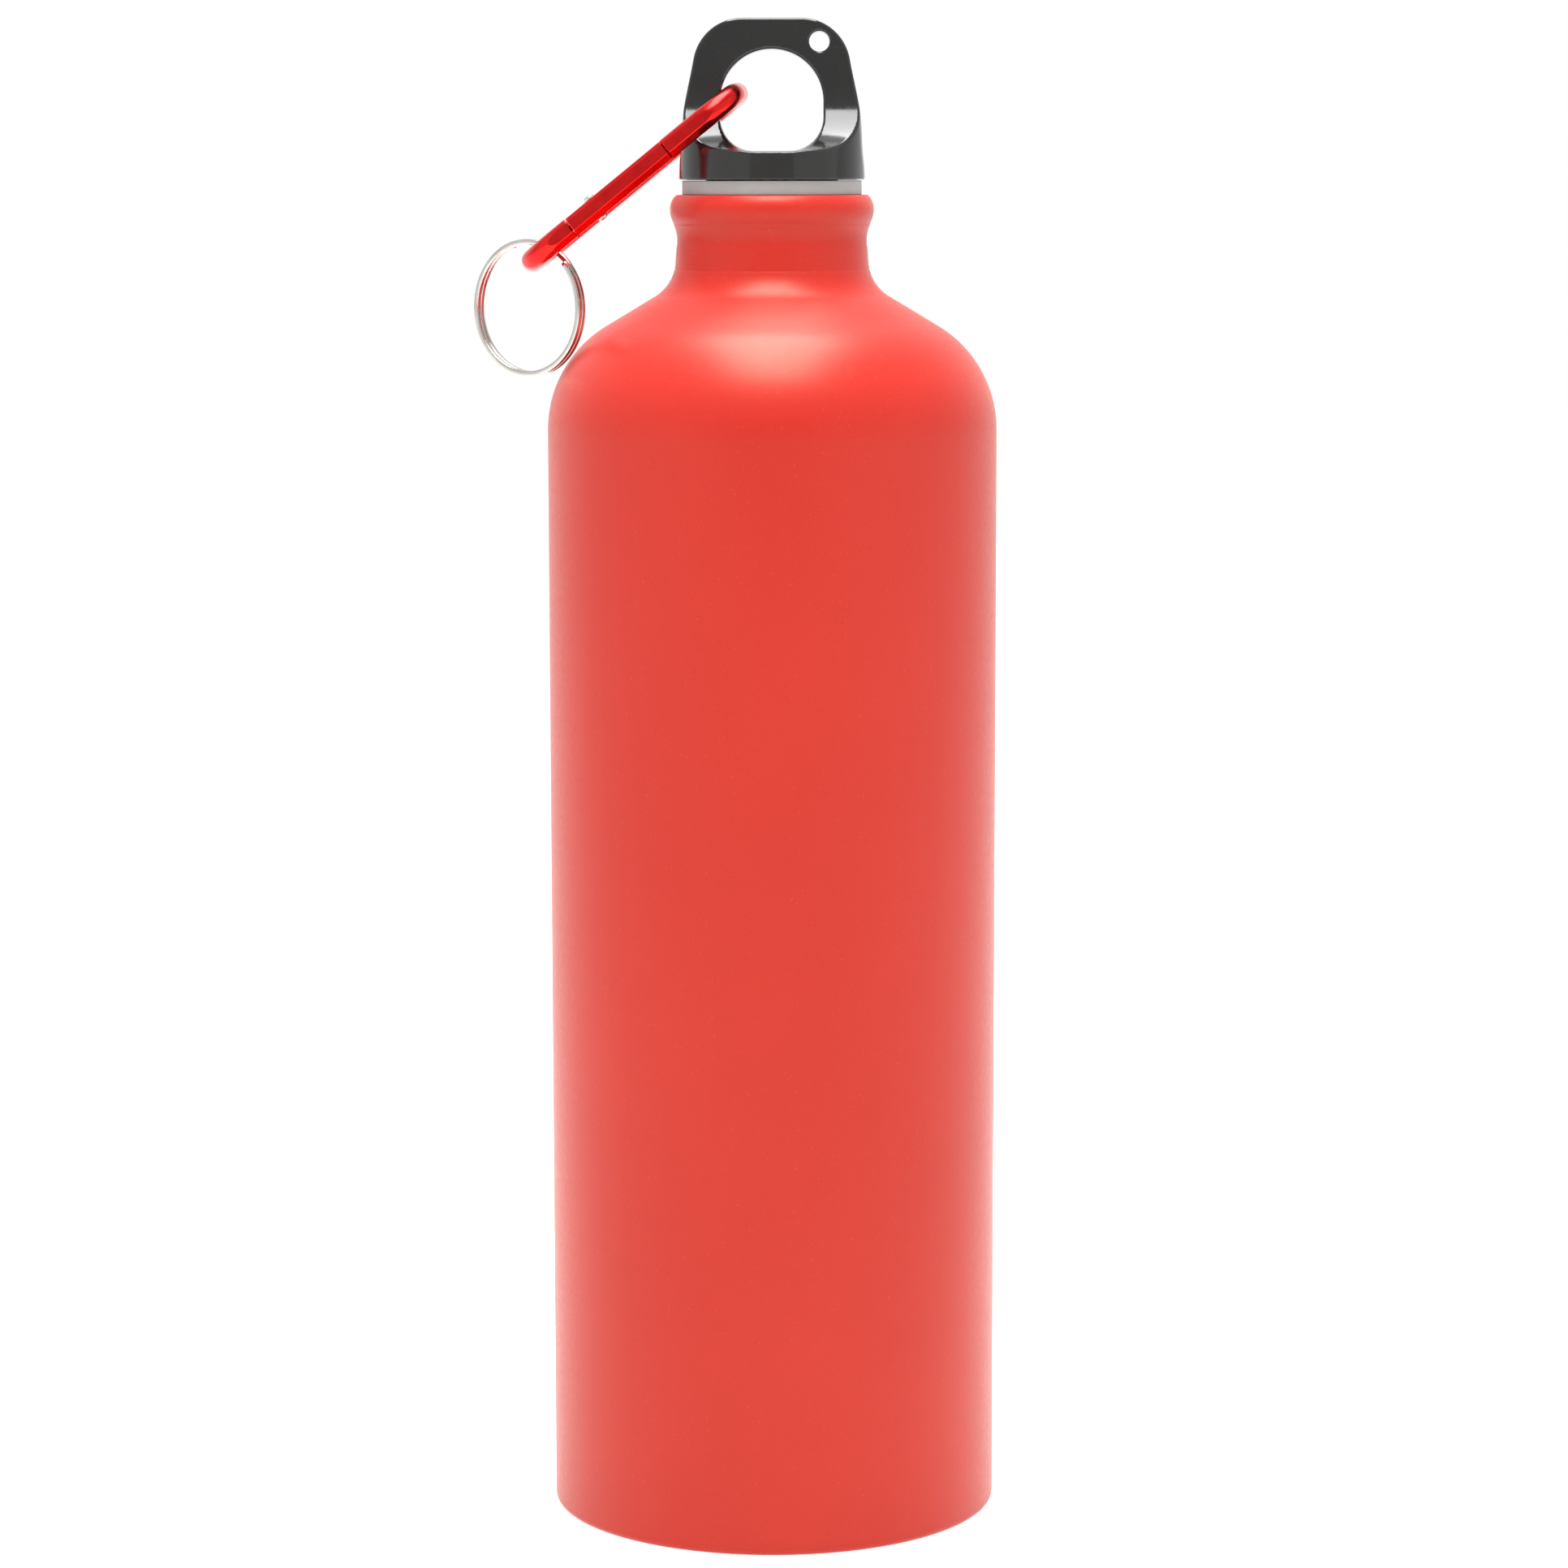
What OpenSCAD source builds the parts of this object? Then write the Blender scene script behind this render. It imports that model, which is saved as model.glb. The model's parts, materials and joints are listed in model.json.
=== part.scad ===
// Aluminium drinking bottle with a screw cap, a loop to carry it by, a small carabiner and a split ring.
// Millimetres. +Z up, origin on the bottle's axis at the plane it stands on, front of the loop faces -Y.
// Bodies that move against each other stay 0.3 apart; the hinge pin, plunger and seal run closer.

/* [Bottle] */
// outside radius of the straight wall
body_r = 40; // [36:0.5:42]
// height of the straight wall, where the shoulder starts
wall_top = 195.1; // [120:0.1:230]
// wall thickness of the straight wall
wall = 1; // [0.8:0.1:1.4]
// radius of the bottom's outer edge
foot_edge_r = 1.2; // [0.8:0.1:2.5]
// height of the inward dome of the base
dome_rise = 4.2; // [2:0.1:8]

/* [Screw thread] */
// height gained by the cap in one turn
pitch = 4; // [3:0.1:5]
// turns of thread on the plug
plug_turns = 2; // [1:0.25:2]
// flat steps in one turn of the threads
steps = 40; // [24:4:60]

/* [Cap] */
// radius of the cap's round base
cap_r = 16.55; // [16:0.05:17.5]
// half the thickness of the loop, front to back
loop_half = 3.5; // [3:0.1:4.5]
// radius of the finger hole's round top
hole_r = 9.1; // [8:0.1:9.5]
// radius of the lanyard hole
lanyard_r = 1.8; // [1.2:0.1:2]

/* [Carabiner] */
// length between the middles of the two end bars
clip_length = 46; // [44:0.5:52]
// half the width between the middles of the two long bars
clip_half = 12; // [11:0.25:14]
// radius of the round bar
bar_r = 1.95; // [1.7:0.05:2.1]
// angle of the carabiner above level
clip_angle = 39; // [36:0.5:45]
// turn of the carabiner in its own plane
clip_skew = 3; // [0:0.5:4]

/* [Split ring] */
// outside radius of the ring
ring_r = 12.15; // [11:0.05:12.5]
// thickness of the wire along the ring's radius
ring_wire = 1; // [0.8:0.1:1.4]
// thickness of one turn of the wire along the ring's axis
ring_turn = 0.95; // [0.6:0.05:1]

/* [Hidden] */
$fn = 96;
shoulder_r = 21.5;
shoulder_x = body_r - shoulder_r;
slope = 31;
// end of the shoulder's round part
sh_x = shoulder_x + shoulder_r * sin(slope);
sh_z = wall_top + shoulder_r * cos(slope);
// hollow fillet between shoulder and neck
neck_fillet = 7.65;
fil_x = 24.75;
fil_z = wall_top + 30.25;
neck_r = 16.8;
lip_top = wall_top + 41.6;
bore_r = 15.6;
mouth_z = lip_top + 2.3;
cap_z = mouth_z + 0.35;
// plug and insert threads
core_r = 11.7;
crest_r = 13;
nut_r = 12;
root_r = 13.3;
plug_bottom = cap_z - 13.2;
thread_z = plug_bottom + 1.9;
// cap
scoop_r = cap_r - loop_half;
scoop_z = cap_z + 5 + scoop_r;
hole_z = cap_z + 13.7;
cap_top = cap_z + 28.2;
corner_r = 8.7;
// carabiner: origin in the middle of its upper end bar
clip_at = [-6.4, 0, cap_z + 14.95];
bend_r = 7;
bar_y = -clip_half;
joint_low = -clip_length + 9.7;
joint_top = -14.8;
pin_x = -clip_length + 15.2;
pin_y = bar_y + 0.25;
pin_r = 0.6;
gap = 0.3;
plunger_y = pin_y + 0.4;
plunger_r = 0.5;
cam = [1.15, 0.85];
cam_r = 0.55;
plunger_x = pin_x + cam[0] + cam_r + gap;
spring_x = plunger_x + 2.2;
spring_end = spring_x + 4;
// split ring
ring_at = [-43.1, -1, cap_z - 22.5];
ring_yaw = 36.5;

red = [0.80, 0.16, 0.13];

// points of one cross-section, laid at angle a and height z, for a section in (radius, height) pairs
function ring_points(sec, a, z) = [for (p = sec) [p[0] * cos(a), p[0] * sin(a), z + p[1]]];

// a section swept along a screw line; the sections are listed from start to end
module sweep(secs, angles, heights) {
  n = len(secs[0]);
  m = len(angles) - 1;
  pts = [for (i = [0 : m]) each ring_points(secs[i], angles[i], heights[i])];
  sides = [for (i = [0 : m - 1]) for (k = [0 : n - 1]) for (t = [0, 1])
    t == 0
      ? [i * n + k, i * n + (k + 1) % n, (i + 1) * n + k]
      : [i * n + (k + 1) % n, (i + 1) * n + (k + 1) % n, (i + 1) * n + k]];
  cap0 = [[for (k = [n - 1 : -1 : 0]) k]];
  cap1 = [[for (k = [0 : n - 1]) m * n + k]];
  polyhedron(points = pts, faces = concat(sides, cap0, cap1));
}

// a screw ridge from radius r0, buried in the wall, to its crest r1; it fades in and out over 30 degrees
module ridge(r0, r1, z0, turns) {
  n = ceil(turns * steps);
  dir = sign(r1 - r0);
  deep = r0 - dir * 0.35;
  slopes = [for (i = [0 : n]) min(1, 0.12 + min(i, n - i) / steps * 12)];
  secs = [for (i = [0 : n]) dir > 0
    ? [[deep, -1.3], [r0 + (r1 - r0) * slopes[i], -0.55], [r0 + (r1 - r0) * slopes[i], 0.55], [deep, 1.3]]
    : [[deep, 1.3], [r0 + (r1 - r0) * slopes[i], 0.55], [r0 + (r1 - r0) * slopes[i], -0.55], [deep, -1.3]]];
  sweep(secs, [for (i = [0 : n]) i * 360 / steps], [for (i = [0 : n]) z0 + i * pitch / steps]);
}

// half outline of the bottle's outside, from the axis outwards
module bottle_outline() {
  difference() {
    union() {
      translate([0, foot_edge_r]) square([body_r, wall_top - foot_edge_r]);
      square([body_r - foot_edge_r, foot_edge_r * 2]);
      translate([body_r - foot_edge_r, foot_edge_r]) circle(foot_edge_r);
      intersection() {
        translate([shoulder_x, wall_top]) circle(shoulder_r);
        translate([shoulder_x, wall_top]) square([shoulder_r, sh_z - wall_top]);
      }
      polygon([[0, wall_top - 1], [shoulder_x + 1, wall_top - 1], [sh_x, sh_z],
        [fil_x - neck_fillet * sin(slope), fil_z - neck_fillet * cos(slope)],
        [fil_x - neck_fillet * cos(7), fil_z - neck_fillet * sin(7)],
        [neck_r, fil_z + 3.2], [neck_r, fil_z + 3.4], [17.3, fil_z + 5.9], [17.69, fil_z + 6.95],
        [17.69, fil_z + 9], [0, fil_z + 9]]);
      intersection() {
        translate([13.07, fil_z + 8.85]) circle(5);
        translate([0, fil_z + 6.9]) square([20, 1.95]);
      }
      intersection() {
        translate([14.67, fil_z + 8.85]) circle(3.4);
        translate([0, fil_z + 8.8]) square([20, lip_top - fil_z - 8.8]);
      }
      square_top = lip_top - fil_z - 8.8;
      translate([0, fil_z + 8.8]) square([14.67, square_top]);
    }
    translate([fil_x, fil_z]) circle(neck_fillet);
    translate([neck_r + 6.6, fil_z + 3.35]) circle(6.6);
    // inward dome of the base
    translate([0, dome_rise - 150]) circle(150, $fn = 720);
  }
}

// half outline of the hollow inside
module bottle_hollow() {
  inner = body_r - wall;
  difference() {
    union() {
      translate([0, wall + 3]) square([inner, wall_top - wall - 3]);
      translate([0, wall]) square([inner - 3, 6]);
      translate([inner - 3, wall + 3]) circle(3);
      intersection() {
        translate([shoulder_x, wall_top]) circle(shoulder_r - wall);
        translate([shoulder_x, wall_top]) square([shoulder_r, (shoulder_r - wall) * cos(slope)]);
      }
      polygon([[0, wall_top - 1], [shoulder_x + 1, wall_top - 1],
        [sh_x - wall * sin(slope), sh_z - wall * cos(slope)],
        [bore_r, sh_z - wall * cos(slope) + (sh_x - wall * sin(slope) - bore_r) * tan(slope)],
        [bore_r, lip_top + 1], [0, lip_top + 1]]);
    }
    translate([fil_x, fil_z]) circle(fil_x - bore_r);
    translate([0, dome_rise + wall - 150]) circle(150, $fn = 720);
  }
}

module bottle_body() {
  color(red) rotate_extrude() difference() {
    bottle_outline();
    bottle_hollow();
    translate([-200, -200]) square([200, 600]);
  }
}

// plastic sleeve fixed in the neck: the female thread, and the collar that shows above the lip
module neck_insert() {
  color([0.69, 0.66, 0.66]) union() {
    difference() {
      union() {
        translate([0, 0, mouth_z - 19.8]) cylinder(r = bore_r - 0.05, h = 18);
        translate([0, 0, lip_top + 0.02]) cylinder(r = 15.9, h = mouth_z - lip_top - 0.02);
      }
      translate([0, 0, mouth_z - 30]) cylinder(r = root_r, h = 40);
      translate([0, 0, mouth_z - 0.8]) cylinder(r1 = root_r, r2 = root_r + 0.9, h = 0.9);
    }
    ridge(root_r, nut_r, thread_z - pitch / 2, 2.5);
  }
}

// soft ring under the cap that seals on the collar; it rises with the cap and does not have to turn
module seal_ring() {
  color([0.8, 0.8, 0.8]) translate([0, 0, cap_z - 0.05]) difference() {
    cylinder(r = 15.3, h = 1.85);
    translate([0, 0, -1]) cylinder(r = 12, h = 4);
  }
}

// front outline of the cap, in (x, z)
module loop_outline() {
  side = [[16.1, cap_z + 4.5], [15.72, cap_z + 10.8],
    [5.2 + corner_r * cos(10), cap_top - corner_r + corner_r * sin(10)], [5.2, cap_top - corner_r]];
  difference() {
    union() {
      for (s = [-1, 1]) translate([s * 5.2, cap_top - corner_r]) circle(corner_r);
      polygon(concat(side, [for (i = [3 : -1 : 0]) [-side[i][0], side[i][1]]]));
      translate([-5.2, cap_top - corner_r]) square([10.4, corner_r]);
      polygon([[-cap_r - 1, cap_z], [cap_r + 1, cap_z], [cap_r + 1, cap_z + 2.6], [16.1, cap_z + 5.2],
        [-16.1, cap_z + 5.2], [-cap_r - 1, cap_z + 2.6]]);
    }
    hole_outline();
    translate([8.4, cap_z + 24.1]) circle(lanyard_r);
  }
}

// finger hole: round above, straight sides, flat floor with round corners
module hole_outline() {
  low_r = 6;
  translate([0, hole_z]) circle(hole_r);
  translate([-hole_r, cap_z + 5 + low_r]) square([hole_r * 2, hole_z - cap_z - 5 - low_r]);
  for (s = [-1, 1]) translate([s * (hole_r - low_r), cap_z + 5 + low_r]) circle(low_r);
  translate([-hole_r + low_r, cap_z + 5]) square([(hole_r - low_r) * 2, low_r + 1]);
}

// gloss cap with the carrying loop; its front and back are scooped out down to the round base
module cap_shell() {
  color([0.10, 0.10, 0.10]) difference() {
    intersection() {
      translate([0, 20, 0]) rotate([90, 0, 0]) linear_extrude(40) loop_outline();
      union() {
        translate([0, 0, cap_z + 0.6]) cylinder(r = cap_r, h = 40);
        translate([0, 0, cap_z]) cylinder(r1 = cap_r - 0.5, r2 = cap_r, h = 0.6);
      }
    }
    for (s = [-1, 1]) {
      translate([-30, s * (loop_half + scoop_r), scoop_z]) rotate([0, 90, 0]) cylinder(r = scoop_r, h = 60);
      translate([-30, s > 0 ? loop_half : -loop_half - 20, scoop_z]) cube([60, 20, 40]);
    }
    // groove for the seal, and the socket that takes the plug's boss
    translate([0, 0, cap_z - 1]) difference() {
      cylinder(r = 15.5, h = 3.1);
      translate([0, 0, -1]) cylinder(r = 11.85, h = 6);
    }
    translate([0, 0, cap_z - 1]) cylinder(r = 9.05, h = 4.05);
  }
}

// threaded plug joined to the cap by a boss pressed into the cap's socket
module cap_plug() {
  color([0.10, 0.10, 0.10]) union() {
    difference() {
      union() {
        translate([0, 0, plug_bottom]) cylinder(r = core_r, h = cap_z - plug_bottom - 0.02);
        translate([0, 0, cap_z - 1]) cylinder(r = 9, h = 4);
      }
      translate([0, 0, plug_bottom - 1]) cylinder(r = 8, h = 13);
      translate([0, 0, plug_bottom - 0.1]) cylinder(r1 = 9.1, r2 = 8, h = 1.1);
    }
    ridge(core_r, crest_r, thread_z, plug_turns);
  }
}

module in_clip() {
  translate(clip_at) rotate([0, -clip_angle, 0]) rotate([0, 0, -clip_skew]) children();
}

// a quarter bend of the round bar, in the plane of the carabiner, starting at angle a
module bend(x, y, a) {
  translate([x, y, 0]) rotate([0, 0, a]) rotate_extrude(angle = 90) translate([bend_r, 0]) circle(bar_r);
}

// side outline of the tongue inside the gate's open end, around the hinge pin
module tongue_outline() {
  translate([pin_x, pin_y]) {
    circle(1.35);
    translate(cam) circle(cam_r);
    polygon([[0, -1.35], [cam[0] + 0.4, 0.45], [cam[0], cam[1] + cam_r], [0, 1.4]]);
    translate([joint_low - pin_x - 1.5, -1.35]) square([pin_x - joint_low + 1.5, 2.7]);
  }
}

module carabiner_frame() {
  color(red) in_clip() difference() {
    union() {
      end_y = clip_half - bend_r;
      for (x = [0, -clip_length]) translate([x, end_y, 0]) rotate([90, 0, 0]) cylinder(r = bar_r, h = end_y * 2);
      bend(-bend_r, end_y, 0);
      bend(-bend_r, -end_y, -90);
      bend(-clip_length + bend_r, end_y, 90);
      bend(-clip_length + bend_r, -end_y, 180);
      translate([-clip_length + bend_r, clip_half, 0]) rotate([0, 90, 0])
        cylinder(r = bar_r, h = clip_length - 2 * bend_r);
      // nose, and the stub that carries the tongue
      translate([joint_top + gap / 2, bar_y, 0]) rotate([0, 90, 0])
        cylinder(r = bar_r, h = -bend_r - joint_top - gap / 2);
      translate([-clip_length + bend_r, bar_y, 0]) rotate([0, 90, 0])
        cylinder(r = bar_r, h = joint_low - gap / 2 + clip_length - bend_r);
      translate([0, 0, -0.6]) linear_extrude(1.2) tongue_outline();
    }
    // half lap of the nose, open on the inner side
    translate([joint_top - 1, bar_y - gap / 2, -3]) cube([3.75, 3, 6]);
    translate([pin_x, pin_y, -2]) cylinder(r = pin_r + 0.03, h = 4);
  }
}

// gate with flat faces: its lower end is a channel, open inwards, that turns on the pin
module carabiner_gate() {
  x0 = joint_low + gap / 2;
  x1 = joint_top - gap / 2;
  color(red) in_clip() difference() {
    union() {
      translate([x0, bar_y, 0]) rotate([90, 0, 90]) linear_extrude(x1 - x0) gate_section();
      intersection() {
        translate([x0, bar_y, 0]) rotate([90, 0, 90]) linear_extrude(x1 - x0 + 2.4) gate_section();
        translate([x1 - 2, bar_y + gap / 2, -3]) cube([4.4, 3, 6]);
      }
    }
    translate([x0 - 1, bar_y - 1.38, -0.9]) cube([pin_x + 2.6 - x0 + 1, 4, 1.8]);
    // relief of the tail's inner corner
    translate([pin_x, pin_y, -3]) linear_extrude(6)
      polygon([[x0 - pin_x - 0.1, 0.2], [x0 - pin_x + 0.4, 1.6], [x0 - pin_x + 0.4, 3], [x0 - pin_x - 2, 3],
        [x0 - pin_x - 2, 0.2]]);
    translate([pin_x, pin_y, -3]) cylinder(r = pin_r + 0.05, h = 6);
    translate([pin_x + 2.5, plunger_y, 0]) rotate([0, 90, 0])
      cylinder(r = plunger_r + 0.05, h = spring_end - pin_x - 2.4);
  }
}

module gate_section() {
  intersection() {
    circle(2.1);
    square(3.7, center = true);
  }
}

// headed pin through the gate's two cheeks and the tongue
module gate_rivet() {
  color([0.75, 0.75, 0.76]) in_clip() translate([pin_x, pin_y, 0]) {
    translate([0, 0, -2.2]) cylinder(r = pin_r, h = 4.4);
    for (s = [0, 1]) mirror([0, 0, s]) translate([0, 0, 1.92]) {
      cylinder(r = 1, h = 0.25);
      translate([0, 0, 0.25]) cylinder(r1 = 1, r2 = 0.6, h = 0.35);
    }
  }
}

// coil spring in the gate's bore: flat end coils joined by a screw line
module gate_spring() {
  mean_r = 0.34;
  wire_r = 0.1;
  turns = 8;
  n = turns * 12;
  sec = [for (k = [0 : 5]) [mean_r + wire_r * cos(k * 60), wire_r * sin(k * 60)]];
  length = spring_end - spring_x - 2 * wire_r;
  color([0.75, 0.75, 0.76]) in_clip() translate([spring_x + wire_r, plunger_y, 0]) rotate([0, 90, 0]) {
    for (z = [0, length]) translate([0, 0, z]) rotate_extrude($fn = 48) translate([mean_r, 0]) circle(wire_r);
    sweep([for (i = [0 : n]) sec], [for (i = [0 : n]) i * 30], [for (i = [0 : n]) i * length / n]);
  }
}

// plunger that the spring presses against the tongue's nose
module gate_plunger() {
  color([0.75, 0.75, 0.76]) in_clip() translate([plunger_x, plunger_y, 0]) rotate([0, 90, 0]) {
    cylinder(r = plunger_r, h = 2.15);
  }
}

// one flat wire wound twice; it steps from one turn to the other between its two ends
module key_ring() {
  in_r = ring_r - ring_wire;
  half = ring_turn / 2;
  a0 = 45;
  a1 = 107;
  n = 16;
  // the step's section is a hair smaller than the turns, so that it joins inside them
  h = half - 0.02;
  sec = [[in_r + 0.02, -h], [ring_r - 0.02, -h], [ring_r - 0.02, h], [in_r + 0.02, h]];
  color([0.78, 0.78, 0.79]) translate(ring_at) rotate([0, 0, -ring_yaw]) rotate([90, 0, 0]) {
    for (s = [-1, 1]) rotate([0, 0, a1 + 1]) rotate_extrude(angle = 360 - (a1 - a0) - 2)
      translate([in_r, s * (half + 0.01) - half]) square([ring_wire, ring_turn]);
    sweep([for (i = [0 : n + 4]) sec],
      concat([a0 - 4, a0 - 2], [for (i = [0 : n]) a0 + i * (a1 - a0) / n], [a1 + 2, a1 + 4]),
      concat([-half - 0.01, -half - 0.01],
        [for (i = [0 : n]) (half + 0.01) * -cos(i * 180 / n)],
        [half + 0.01, half + 0.01]));
  }
}

bottle_body();
neck_insert();
seal_ring();
cap_shell();
cap_plug();
carabiner_frame();
carabiner_gate();
gate_rivet();
gate_spring();
gate_plunger();
key_ring();
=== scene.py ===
import json
import math

import bmesh
import bpy
import numpy as np
from mathutils import Matrix, Vector


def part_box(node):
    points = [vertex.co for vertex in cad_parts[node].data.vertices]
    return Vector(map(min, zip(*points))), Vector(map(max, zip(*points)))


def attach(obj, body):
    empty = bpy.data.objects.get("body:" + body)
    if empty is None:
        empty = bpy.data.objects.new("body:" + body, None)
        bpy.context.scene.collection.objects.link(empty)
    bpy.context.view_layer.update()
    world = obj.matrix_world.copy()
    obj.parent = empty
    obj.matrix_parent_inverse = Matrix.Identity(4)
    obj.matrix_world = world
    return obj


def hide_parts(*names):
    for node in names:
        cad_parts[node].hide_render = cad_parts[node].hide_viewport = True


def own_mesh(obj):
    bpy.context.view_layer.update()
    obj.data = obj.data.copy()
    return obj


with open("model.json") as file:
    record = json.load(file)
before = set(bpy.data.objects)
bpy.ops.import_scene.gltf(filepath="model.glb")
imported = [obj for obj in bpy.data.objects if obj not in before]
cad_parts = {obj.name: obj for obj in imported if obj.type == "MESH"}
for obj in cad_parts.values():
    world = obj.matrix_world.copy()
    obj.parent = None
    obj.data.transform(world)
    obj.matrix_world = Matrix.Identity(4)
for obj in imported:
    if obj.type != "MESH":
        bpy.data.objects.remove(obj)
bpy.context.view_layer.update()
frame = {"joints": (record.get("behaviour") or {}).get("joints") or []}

MM = 0.001
scene = bpy.context.scene
joints = {j["name"]: j for j in frame["joints"]}

# Heights that the pieces share, in millimetres, all read from the frame.
CAP_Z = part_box("cap_shell")[0].z / MM
CAP_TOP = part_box("cap_shell")[1].z / MM
LIP_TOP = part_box("bottle_body")[1].z / MM
BODY_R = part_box("bottle_body")[1].x / MM
MOUTH_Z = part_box("neck_insert")[1].z / MM
SLEEVE_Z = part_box("neck_insert")[0].z / MM
PLUG_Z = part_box("cap_plug")[0].z / MM


# ---------------------------------------------------------------- mesh tools

def make_object(name, verts, faces, normals=None, sharp=None):
    """A smooth-shaded mesh object from vertices in millimetres, its faces turned outwards."""
    me = bpy.data.meshes.new(name)
    me.from_pydata((np.asarray(verts, float) * MM).tolist(), [], [list(map(int, f)) for f in faces])
    me.update()
    if normals is None:
        bm = bmesh.new()
        bm.from_mesh(me)
        bmesh.ops.recalc_face_normals(bm, faces=bm.faces)
        bm.to_mesh(me)
        bm.free()
    me.polygons.foreach_set("use_smooth", np.ones(len(me.polygons), bool))
    if sharp is not None:
        me.set_sharp_from_angle(angle=math.radians(sharp))
    if normals is not None:
        me.normals_split_custom_set_from_vertices(normals.tolist())
    me.update()
    obj = bpy.data.objects.new(name, me)
    scene.collection.objects.link(obj)
    return obj


def arc(cx, cz, r, a0, a1, n):
    """Points of an arc in the (radius, height) plane, angles in degrees."""
    return [(cx + r * math.cos(math.radians(a)), cz + r * math.sin(math.radians(a)))
            for a in np.linspace(a0, a1, n + 1)]


def rounded(corners, closed, seg=4, support=0.12):
    """An outline whose corners (x, z, radius) become arcs, with a support point beside each arc."""
    pts, n = [], len(corners)
    for i, (x, z, r) in enumerate(corners):
        if not closed and i in (0, n - 1):
            pts.append((x, z))
            continue
        p = np.array((x, z), float)
        a = np.array(corners[i - 1][:2], float) - p
        b = np.array(corners[(i + 1) % n][:2], float) - p
        la, lb = np.linalg.norm(a), np.linalg.norm(b)
        a, b = a / la, b / lb
        half = math.acos(max(-1, min(1, float(a @ b)))) / 2
        if r <= 0 or half > math.radians(89):
            pts.append((x, z))
            continue
        d = min(r / math.tan(half), la * 0.45, lb * 0.45)
        r = d * math.tan(half)
        centre = p + (a + b) / np.linalg.norm(a + b) * (r / math.sin(half))
        s, e = p + a * d - centre, p + b * d - centre
        turn = math.pi - 2 * half
        arc_pts = []
        for k in range(seg + 1):
            t = k / seg
            v = (s * math.sin((1 - t) * turn) + e * math.sin(t * turn)) / math.sin(turn)
            arc_pts.append(centre + v)
        if la > 6 * d:
            pts.append(tuple(p + a * (d + min(support, d * 0.6))))
        pts += [tuple(q) for q in arc_pts]
        if lb > 6 * d:
            pts.append(tuple(p + b * (d + min(support, d * 0.6))))
    return pts


def split_long(pts, longest, closed):
    """The outline with its long stretches cut into shorter ones."""
    out, n = [], len(pts)
    for i in range(n if closed else n - 1):
        p, q = np.array(pts[i], float), np.array(pts[(i + 1) % n], float)
        k = max(1, int(math.ceil(np.linalg.norm(q - p) / longest)))
        out += [tuple(p + (q - p) * j / k) for j in range(k)]
    return out if closed else out + [pts[-1]]


def revolve(name, outline, n, closed, shift=None, place=None):
    """Turns an outline of (radius, height) about Z. shift(radius, height, angle) moves the radius, for a thread."""
    outline = np.array(outline, float)
    ends = [] if closed else [0, len(outline) - 1]
    rows, verts = [], []
    angles = np.arange(n) * 2 * math.pi / n
    for i, (r, z) in enumerate(outline):
        if i in ends and r < 1e-6:
            rows.append([len(verts)])
            verts.append((0, 0, z))
            continue
        rr = np.full(n, r) if shift is None else shift(r, z, angles)
        rows.append(list(range(len(verts), len(verts) + n)))
        verts += list(zip(rr * np.cos(angles), rr * np.sin(angles), [z] * n))
    faces = []
    for i in range(len(rows) if closed else len(rows) - 1):
        a, b = rows[i], rows[(i + 1) % len(rows)]
        for k in range(n):
            m = (k + 1) % n
            if len(a) == 1:
                faces.append((a[0], b[m], b[k]))
            elif len(b) == 1:
                faces.append((a[k], a[m], b[0]))
            else:
                faces.append((a[k], a[m], b[m], b[k]))
    verts = np.array(verts)
    if place is not None:
        verts = place(verts)
    return make_object(name, verts, faces)


def sweep(name, rings, place=None):
    """A closed tube through rings of points, each ring a list of the same length, ends filled."""
    n = len(rings[0])
    verts = np.array([p for ring in rings for p in ring], float)
    faces = []
    for i in range(len(rings) - 1):
        for k in range(n):
            m = (k + 1) % n
            faces.append((i * n + k, i * n + m, (i + 1) * n + m, (i + 1) * n + k))
    faces.append(tuple(range(n - 1, -1, -1)))
    faces.append(tuple((len(rings) - 1) * n + k for k in range(n)))
    return make_object(name, verts if place is None else place(verts), faces)


def smax(a, b, r):
    """The larger of two distances, with the edge between them rounded to radius r."""
    return np.minimum(np.maximum(a, b), -r) + np.hypot(np.maximum(a + r, 0), np.maximum(b + r, 0))


def gradient(f, p, eps=2e-3):
    """Direction in which a distance grows, at each point."""
    out = np.empty_like(p)
    for a in range(3):
        step = np.zeros(3)
        step[a] = eps
        hi, lo = p + step, p - step
        out[:, a] = (f(*hi.T) - f(*lo.T)) / (2 * eps)
    return out


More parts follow.
